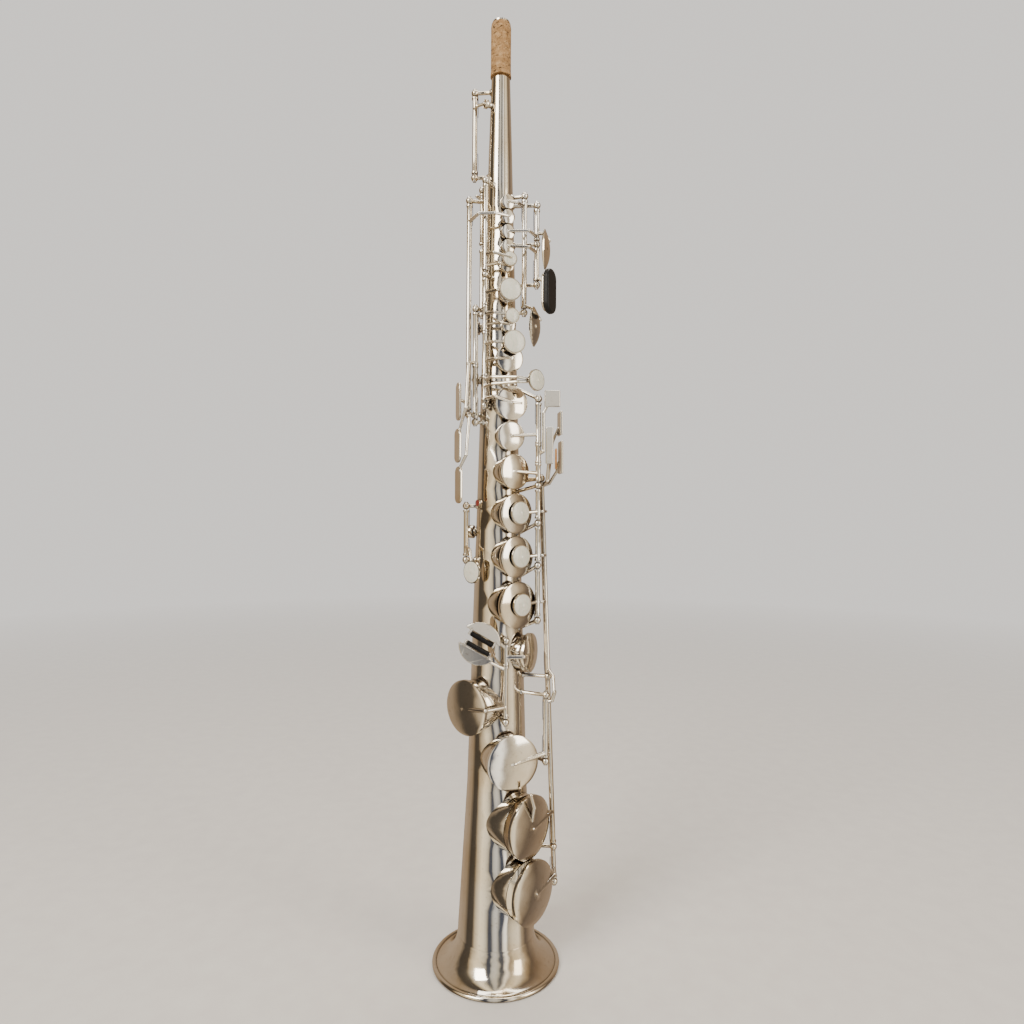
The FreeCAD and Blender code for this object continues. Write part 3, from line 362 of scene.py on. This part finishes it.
def screw_head(name, base, axis):
    """Domed screw head with a milled slot."""
    radius, height = 1.35 * MM, 0.55 * MM
    outline = [(0, -0.3 * MM), (radius, -0.3 * MM), (radius, height * 0.4),
               (radius * 0.82, height * 0.85), (0, height)]
    data = lathe(name, outline, Vector(), (0, 0, 1), 24)
    shape = bmesh.new()
    shape.from_mesh(data)
    slot_half = 0.22 * MM
    for side in (-1, 1):
        whole = list(shape.verts) + list(shape.edges) + list(shape.faces)
        bmesh.ops.bisect_plane(shape, geom=whole, plane_co=(side * slot_half, 0, 0),
                               plane_no=(1, 0, 0))
    for vertex in shape.verts:
        if abs(vertex.co.x) < slot_half * 1.02 and vertex.co.z > height * 0.3:
            vertex.co.z = height * 0.25
    shape.transform(Matrix.Translation(base) @ aligned(axis))
    shape.to_mesh(data)
    shape.free()
    return piece(name, data, FINISH["rod_steel"], "root", smooth=False)


def make_rod_hardware():
    """A slotted screw at each rod's end and a needle spring beside each hinge."""
    for i, (top, low) in enumerate(rod_ends()):
        way = (top - low).normalized()
        screw_head(f"screw_top_{i:02d}", top + way * 0.2 * MM, way)
        screw_head(f"screw_low_{i:02d}", low - way * 0.2 * MM, -way)
        inward = -Vector((top.x, top.y, 0)).normalized()
        for tag, end, heading in (("top", top, -way), ("low", low, way)):
            start = end + heading * 2.2 * MM + inward * 2.0 * MM
            reach = min((top - low).length * 0.35, 17 * MM)
            middle = start + heading * reach * 0.5 + inward * 0.7 * MM
            tip = start + heading * reach + inward * 0.15 * MM
            wire(f"spring_{tag}_{i:02d}", [start, middle, tip], 0.22 * MM, SPRING, "root")


def slab(name, centre, sizes, finish, body):
    """Small block with rounded edges."""
    shape = bmesh.new()
    bmesh.ops.create_cube(shape, size=1.0)
    for vertex in shape.verts:
        vertex.co = Vector((vertex.co.x * sizes[0], vertex.co.y * sizes[1], vertex.co.z * sizes[2]))
    bmesh.ops.bevel(shape, geom=list(shape.edges), offset=min(sizes) * 0.28, segments=3,
                    affect="EDGES", clamp_overlap=True)
    shape.transform(Matrix.Translation(centre))
    data = bpy.data.meshes.new(name)
    shape.to_mesh(data)
    shape.free()
    return piece(name, data, finish, body)


# Felt bumpers in millimetres: (radius, height) outlines, then each one's height on the
# tube, its azimuth in degrees from the front, and how far out its foot stands.
BUMPER_CUP = [(0, -0.6), (2.6, -0.6), (2.6, 1.2), (2.3, 1.4), (2.3, 0.6), (0, 0.6)]
BUMPER_FELT = [(0, 0.6), (2.25, 0.6), (2.25, 1.9), (1.8, 2.4), (0, 2.5)]
BUMPERS = {"side_bumper": (318.0, -62.0, 14.6), "stack_bumper": (542.0, -70.0, 8.6)}
TABLE_CORK_CENTRE = Vector((38.95, -14.5, 348.0))
TABLE_CORK_SIZE = Vector((1.3, 5.6, 14.0))


def make_bumpers():
    """Cork beside the low B flat touch and felt bumpers in small cups on the tube."""
    slab("table_cork", TABLE_CORK_CENTRE * MM, TABLE_CORK_SIZE * MM, KEY_CORK, "low_bb")
    for name, (z, azimuth, reach) in BUMPERS.items():
        turn = math.radians(azimuth)
        away = Vector((math.sin(turn), -math.cos(turn), 0))
        base = (away * reach + Vector((0, 0, z))) * MM
        for tag, outline, finish in (("cup", BUMPER_CUP, FINISH["silver"]),
                                     ("felt", BUMPER_FELT, RED_FELT)):
            sized = [(radius * MM, height * MM) for radius, height in outline]
            piece(f"{name}_{tag}", lathe(f"{name}_{tag}", sized, base, away), finish, "root",
                  smooth=tag == "felt")


# ---------------------------------------------------------------- floor, light, camera

def make_stage():
    """Plain pale floor that fades into a plain pale surround."""
    radius, fade_start = 2.4, 0.12
    shape = bmesh.new()
    bmesh.ops.create_circle(shape, cap_ends=True, segments=96, radius=radius)
    data = bpy.data.meshes.new("floor")
    shape.to_mesh(data)
    shape.free()
    floor = bpy.data.objects.new("floor", data)
    bpy.context.scene.collection.objects.link(floor)
    shade = Shade("pale_floor")
    speck = shade.noise(60.0, 4.0)
    color = shade.ramp(speck, (0.3, (0.73, 0.71, 0.69)), (0.7, (0.77, 0.755, 0.73)))
    distance = shade.node("ShaderNodeVectorMath", Vector=shade.place)
    distance.operation = "LENGTH"
    fade = shade.node("ShaderNodeMapRange", Value=distance.outputs["Value"], From_Min=fade_start,
                      From_Max=radius * 0.9, To_Min=1.0, To_Max=0.0)
    shade.set(Base_Color=color, Roughness=0.85, Specular_IOR_Level=0.1,
              Alpha=fade.outputs["Result"])
    data.materials.append(shade.material)
    floor.visible_glossy = False


# Surround by compass azimuth in degrees: 0 is behind the object (+Y), 90 is +X,
# and -180 or 180 is behind the camera.
WORLD_BANDS = [
    (-180.0, (0.95, 0.91, 0.84)), (-171.0, (0.80, 0.76, 0.69)), (-167.0, (0.08, 0.09, 0.12)),
    (-159.0, (0.11, 0.11, 0.13)), (-152.0, (0.80, 0.70, 0.54)), (-144.0, (1.30, 1.12, 0.82)),
    (-130.0, (1.50, 1.28, 0.90)), (-114.0, (0.72, 0.57, 0.38)), (-106.0, (0.10, 0.08, 0.06)),
    (-84.0, (0.08, 0.065, 0.05)), (-72.0, (0.40, 0.30, 0.20)), (-40.0, (0.52, 0.39, 0.27)),
    (0.0, (0.45, 0.34, 0.24)), (50.0, (0.40, 0.29, 0.20)), (84.0, (0.16, 0.12, 0.09)),
    (98.0, (0.55, 0.42, 0.28)), (112.0, (1.35, 1.16, 0.87)), (132.0, (1.05, 0.90, 0.66)),
    (143.0, (0.50, 0.42, 0.33)), (149.0, (2.1, 2.0, 1.8)), (155.0, (1.6, 1.52, 1.4)),
    (160.0, (0.12, 0.13, 0.17)), (168.0, (0.08, 0.09, 0.12)), (173.0, (0.80, 0.76, 0.69)),
    (180.0, (0.95, 0.91, 0.84)),
]
PANEL_SWAY = 0.05        # share of a full turn that the panels' edges wander by
BACKDROP = (1.02, 0.975, 0.92, 1.0)


def make_world():
    """Pale to the camera; a studio of bright panels and dark gaps to reflections."""
    world = bpy.data.worlds.new("studio")
    bpy.context.scene.world = world
    world.use_nodes = True
    tree = world.node_tree
    tree.nodes.clear()

    def node(kind, **values):
        made = tree.nodes.new(kind)
        for name, value in values.items():
            socket = made.inputs[name]
            if isinstance(value, bpy.types.NodeSocket):
                tree.links.new(value, socket)
            else:
                socket.default_value = value
        return made

    place = node("ShaderNodeTexCoord").outputs["Generated"]
    axes = node("ShaderNodeSeparateXYZ", Vector=place)
    turn = tree.nodes.new("ShaderNodeMath")
    turn.operation = "ARCTAN2"
    tree.links.new(axes.outputs["X"], turn.inputs[0])
    tree.links.new(axes.outputs["Y"], turn.inputs[1])
    share = node("ShaderNodeMapRange", Value=turn.outputs["Value"])
    share.inputs["From Min"].default_value = -math.pi
    share.inputs["From Max"].default_value = math.pi
    ripple = node("ShaderNodeTexNoise", Vector=place, Scale=3.2, Detail=2.0)
    sway = tree.nodes.new("ShaderNodeMath")
    sway.operation = "MULTIPLY_ADD"
    tree.links.new(ripple.outputs["Fac"], sway.inputs[0])
    sway.inputs[1].default_value = PANEL_SWAY
    tree.links.new(share.outputs["Result"], sway.inputs[2])
    level = tree.nodes.new("ShaderNodeMath")
    level.operation = "SUBTRACT"
    tree.links.new(sway.outputs["Value"], level.inputs[0])
    level.inputs[1].default_value = PANEL_SWAY / 2
    bands = node("ShaderNodeValToRGB", Fac=level.outputs["Value"])
    ramp = bands.color_ramp
    while len(ramp.elements) < len(WORLD_BANDS):
        ramp.elements.new(0.5)
    for element, (azimuth, color) in zip(ramp.elements, WORLD_BANDS):
        element.position = azimuth / 360.0 + 0.5
        element.color = (*color, 1.0)
    seen = node("ShaderNodeBackground", Color=BACKDROP, Strength=1.0)
    studio = node("ShaderNodeBackground", Color=bands.outputs["Color"], Strength=1.0)
    choose = node("ShaderNodeMixShader")
    tree.links.new(node("ShaderNodeLightPath").outputs["Is Camera Ray"], choose.inputs["Fac"])
    tree.links.new(studio.outputs["Background"], choose.inputs[1])
    tree.links.new(seen.outputs["Background"], choose.inputs[2])
    tree.links.new(choose.outputs["Shader"], node("ShaderNodeOutputWorld").inputs["Surface"])


def add_area(name, place, target, width, height, power, color):
    data = bpy.data.lights.new(name, "AREA")
    data.shape = "RECTANGLE"
    data.size, data.size_y = width, height
    data.energy = power
    data.color = color
    lamp = bpy.data.objects.new(name, data)
    lamp.location = place
    lamp.rotation_euler = (Vector(target) - Vector(place)).to_track_quat("-Z", "Y").to_euler()
    bpy.context.scene.collection.objects.link(lamp)


def make_lights():
    middle = (0.0, 0.0, 0.33)
    add_area("key_light", (-0.9, -1.1, 1.2), middle, 0.7, 1.0, 22.0, (1.0, 0.96, 0.90))
    add_area("fill_light", (1.3, -0.8, 0.7), middle, 0.5, 1.1, 9.0, (1.0, 0.93, 0.84))
    add_area("top_light", (0.1, 0.3, 1.6), middle, 0.9, 0.9, 12.0, (1.0, 0.97, 0.93))


CAMERA_PLACE = (0.0095, -0.494, 0.312)
CAMERA_ROLL = 0.33       # degrees
CAMERA_LENS = 24.96      # millimetres, on a 36 mm sensor


def make_camera():
    """Level view of the front from half a metre, as wide as the whole instrument."""
    data = bpy.data.cameras.new("camera")
    data.sensor_width = 36.0
    data.lens = CAMERA_LENS
    camera = bpy.data.objects.new("camera", data)
    camera.matrix_world = (Matrix.Translation(CAMERA_PLACE)
                           @ Matrix.Rotation(math.radians(90.0), 4, "X")
                           @ Matrix.Rotation(math.radians(CAMERA_ROLL), 4, "Z"))
    bpy.context.scene.collection.objects.link(camera)
    bpy.context.scene.camera = camera


dress_nodes()
make_rod_hardware()
make_bumpers()
make_stage()
make_world()
make_lights()
make_camera()

bpy.context.view_layer.update()
